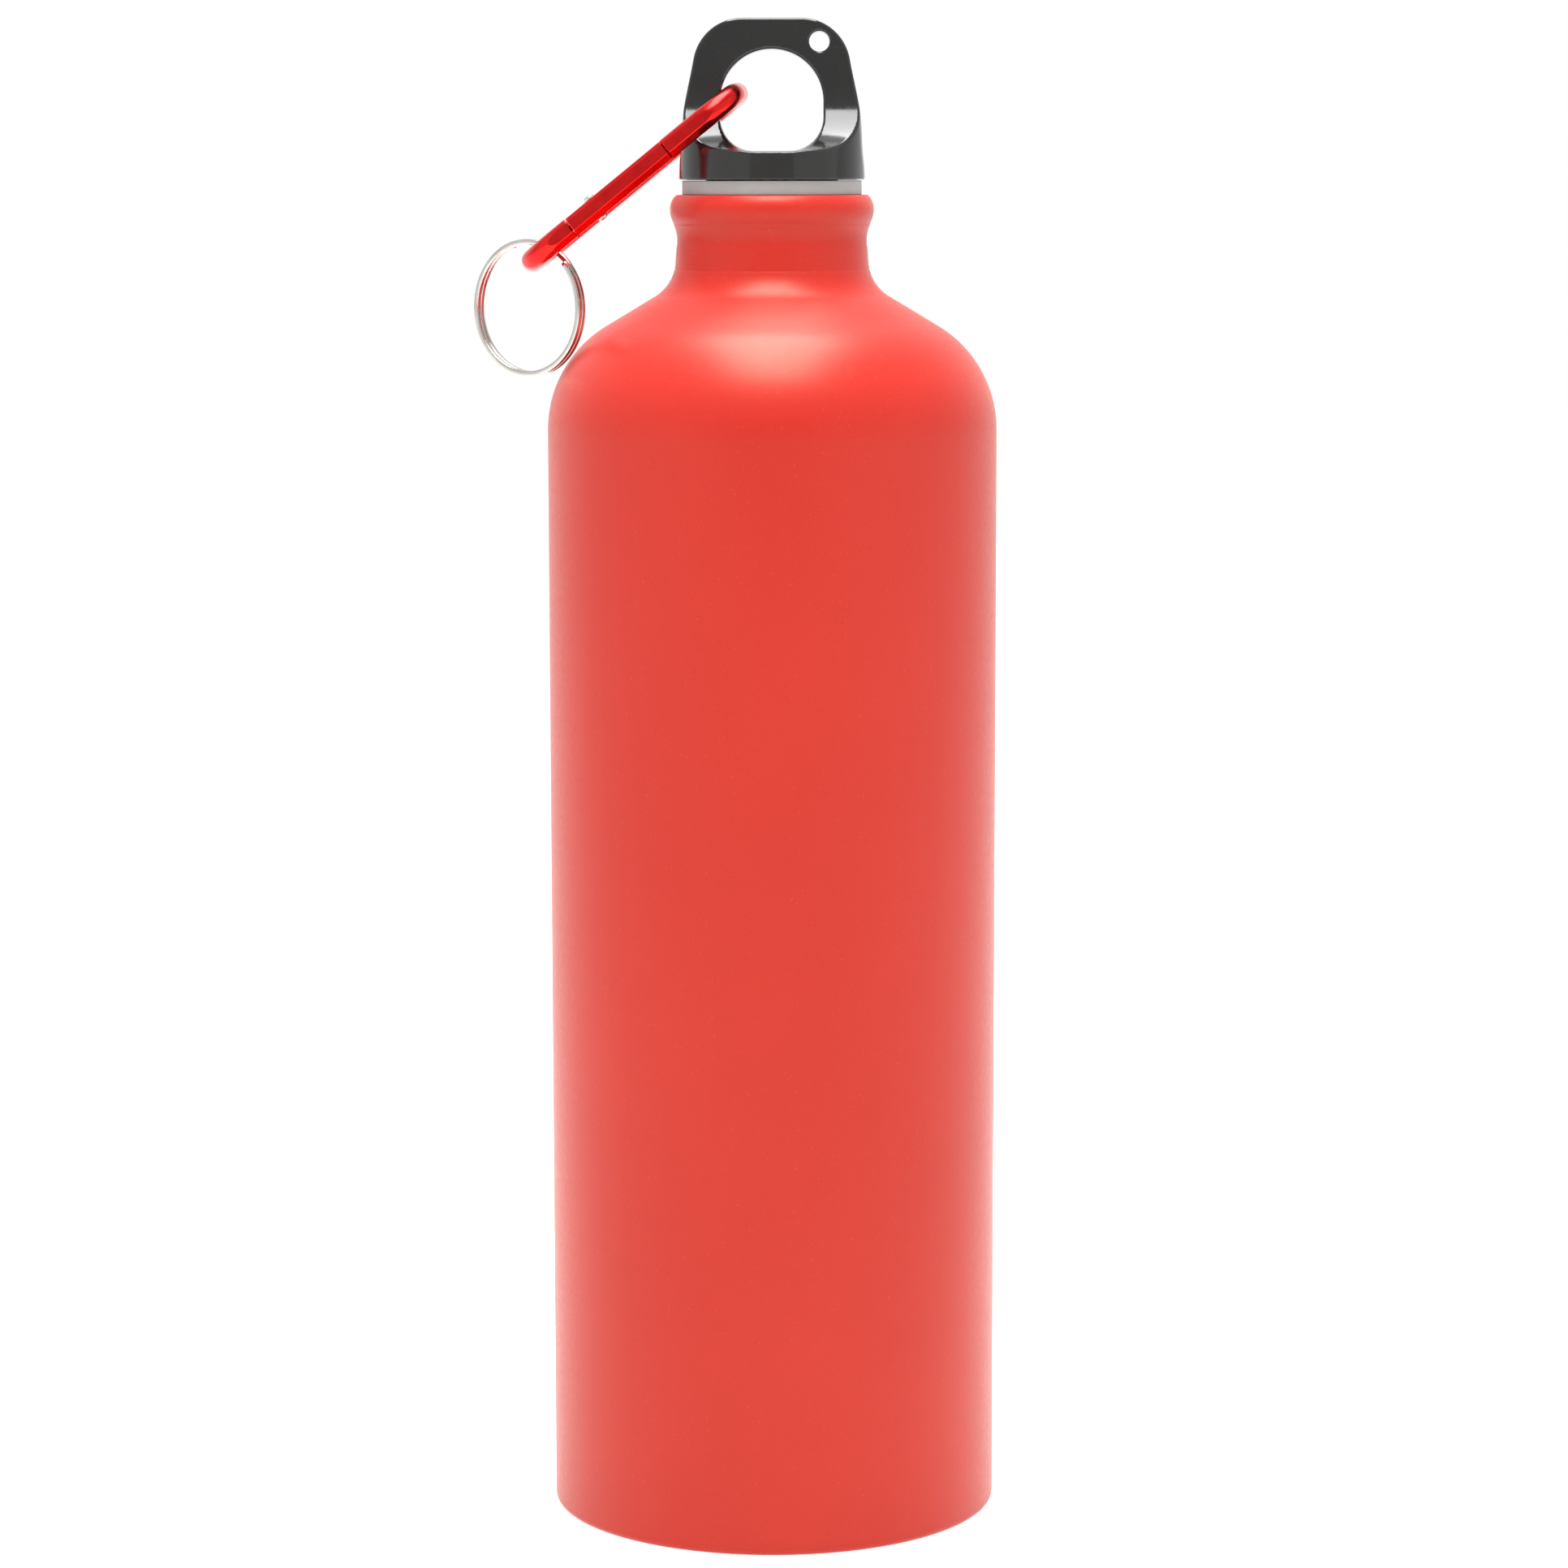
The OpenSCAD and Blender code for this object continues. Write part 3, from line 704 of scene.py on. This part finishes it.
PLUNGER_END = PLUNGER_X + 2.15
plunger_outline = [(0, PLUNGER_X, 0), (0.42, PLUNGER_X, 0.14), (PLUNGER_R, PLUNGER_X + 0.12, 0.06),
                   (PLUNGER_R, PLUNGER_END, 0.08), (0, PLUNGER_END, 0)]
plunger = revolve("gate_plunger_piece", rounded(plunger_outline, False, 4, 0.05), 40, False, place=along_clip)
finish_piece(plunger, "plunger", "pin_steel", STEEL, "gate_plunger")


def spring_rings():
    """A wire coiled eight times between two closed end coils."""
    mean_r, wire_r, turns, per_turn = 0.34, 0.095, 8, 28
    start, length = SPRING_X + 0.1, SPRING_END - SPRING_X - 0.2
    rings = []
    total = (turns + 1.6) * per_turn
    for i in range(int(total) + 1):
        t = i / per_turn
        s = min(max((t - 0.8) / turns, 0), 1)
        x = start + length * s
        a = 2 * math.pi * t
        ring = []
        for k in range(10):
            b = 2 * math.pi * k / 10
            r = mean_r + wire_r * math.cos(b)
            ring.append((x + wire_r * math.sin(b), PLUNGER_Y + r * math.cos(a), r * math.sin(a)))
        rings.append(ring)
    return rings


spring = finish_piece(sweep("plunger_spring", spring_rings(), in_clip), "gate", "pin_steel", STEEL, "gate_spring")
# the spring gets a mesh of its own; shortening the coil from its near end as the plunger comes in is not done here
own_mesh(spring)


# ---------------------------------------------------------------- split ring

RING_R, RING_WIRE, RING_TURN, RING_YAW = 12.15, 1.0, 0.95, 36.5
# angles between which the wire crosses from one turn to the other
STEP_FROM, STEP_TO = 45.0, 107.0


def ring_place(p):
    low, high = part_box("key_ring")
    middle = np.array((low + high) / 2) / MM
    yaw = math.radians(-RING_YAW)
    x, y, z = p[:, 0], -p[:, 2], p[:, 1]
    return np.stack([x * math.cos(yaw) - y * math.sin(yaw), x * math.sin(yaw) + y * math.cos(yaw), z], 1) + middle


def ring_rings():
    """Two turns of one flat wire side by side; it crosses from one turn to the other at the top."""
    half = RING_TURN / 2
    mid_r = RING_R - RING_WIRE / 2
    wide, edge = RING_WIRE / 2, 0.26
    corners = [(-wide, -half, edge), (wide, -half, edge), (wide, half, edge), (-wide, half, edge)]
    section = rounded(corners, True, 4, 0.05)
    start, end = STEP_TO + 1, STEP_FROM - 1 + 720
    angles = np.linspace(start, end, 420)
    rings = []
    for a in angles:
        u = min(max((a - 360 - STEP_FROM) / (STEP_TO - STEP_FROM), 0), 1)
        h = -(half + 0.01) * math.cos(math.pi * u)
        tip = min(a - start, end - a) * math.radians(1) * mid_r
        grow = math.sqrt(max(1 - (1 - min(tip / 0.22, 1)) ** 2, 0)) * 0.22 + 0.78
        ring = []
        for x, z in section:
            r = mid_r + x * grow
            ring.append((r * math.cos(math.radians(a)), r * math.sin(math.radians(a)), h + z * grow))
        rings.append(ring)
    return rings


ring = sweep("split_ring", ring_rings(), ring_place)
finish_piece(ring, "ring", "ring_nickel", NICKEL, "key_ring")


# ---------------------------------------------------------------- floor, light and camera

def stage_floor():
    bm = bmesh.new()
    bmesh.ops.create_circle(bm, cap_ends=True, segments=96, radius=4.0)
    me = bpy.data.meshes.new("floor")
    bm.to_mesh(me)
    bm.free()
    floor = bpy.data.objects.new("floor", me)
    scene.collection.objects.link(floor)
    n = Nodes("pale_floor", Roughness=0.9)
    n.set("Base Color", n.blend(n.noise(6, 2), (0.50, 0.50, 0.50), (0.53, 0.53, 0.53)))
    n.shader.inputs["Emission Color"].default_value = (1, 1, 1, 1)
    n.shader.inputs["Emission Strength"].default_value = 0.80
    n.shader.inputs["Specular IOR Level"].default_value = 0.1
    me.materials.append(n.mat)


def softbox(name, at, target, size, power):
    light = bpy.data.lights.new(name, "AREA")
    light.shape = "RECTANGLE"
    light.size, light.size_y = size
    light.energy = power
    obj = bpy.data.objects.new(name, light)
    scene.collection.objects.link(obj)
    obj.location = at
    obj.rotation_euler = (Vector(target) - Vector(at)).to_track_quat("-Z", "Y").to_euler()
    obj.visible_camera = False
    return obj


stage_floor()
middle = (0, 0, 0.13)
softbox("left_softbox", (-0.95, -0.62, 0.38), middle, (1.35, 1.6), 2.6)
softbox("right_softbox", (0.95, -0.62, 0.38), middle, (1.35, 1.6), 2.6)
top = softbox("top_softbox", (0, -0.14, 1.25), middle, (0.62, 1.15), 30)
top.rotation_euler = (0, 0, 0)


def studio_world():
    """White where the camera looks past the part; as light it is dimmer in front and brighter behind."""
    world = bpy.data.worlds.new("studio")
    scene.world = world
    world.use_nodes = True
    tree = world.node_tree
    tree.nodes.clear()
    new, link = tree.nodes.new, tree.links.new
    out, mix, path = new("ShaderNodeOutputWorld"), new("ShaderNodeMixShader"), new("ShaderNodeLightPath")
    seen, lit = new("ShaderNodeBackground"), new("ShaderNodeBackground")
    where, split, ramp = new("ShaderNodeTexCoord"), new("ShaderNodeSeparateXYZ"), new("ShaderNodeMapRange")
    for name, value in (("From Min", -0.4), ("From Max", 0.7), ("To Min", 0.56), ("To Max", 1.0)):
        ramp.inputs[name].default_value = value
    link(where.outputs["Generated"], split.inputs[0])
    link(split.outputs["Y"], ramp.inputs["Value"])
    link(ramp.outputs[0], lit.inputs["Strength"])
    for node in (seen, lit):
        node.inputs["Color"].default_value = (1, 1, 1, 1)
    link(path.outputs["Is Camera Ray"], mix.inputs[0])
    link(lit.outputs[0], mix.inputs[1])
    link(seen.outputs[0], mix.inputs[2])
    link(mix.outputs[0], out.inputs["Surface"])


studio_world()
scene.view_settings.view_transform = "Standard"
scene.view_settings.look = "None"

cam_data = bpy.data.cameras.new("camera")
cam_data.sensor_width = 36.0
cam_data.lens = 104.34
cam_data.clip_start = 0.05
cam_data.clip_end = 20
camera = bpy.data.objects.new("camera", cam_data)
scene.collection.objects.link(camera)
camera.location = (0.002, -0.8119, 0.240)
PITCH_DOWN, ROLL = 0.133, -0.0014
camera.rotation_euler = (Matrix.Rotation(math.pi / 2 - PITCH_DOWN, 3, "X") @ Matrix.Rotation(ROLL, 3, "Z")).to_euler()
scene.camera = camera
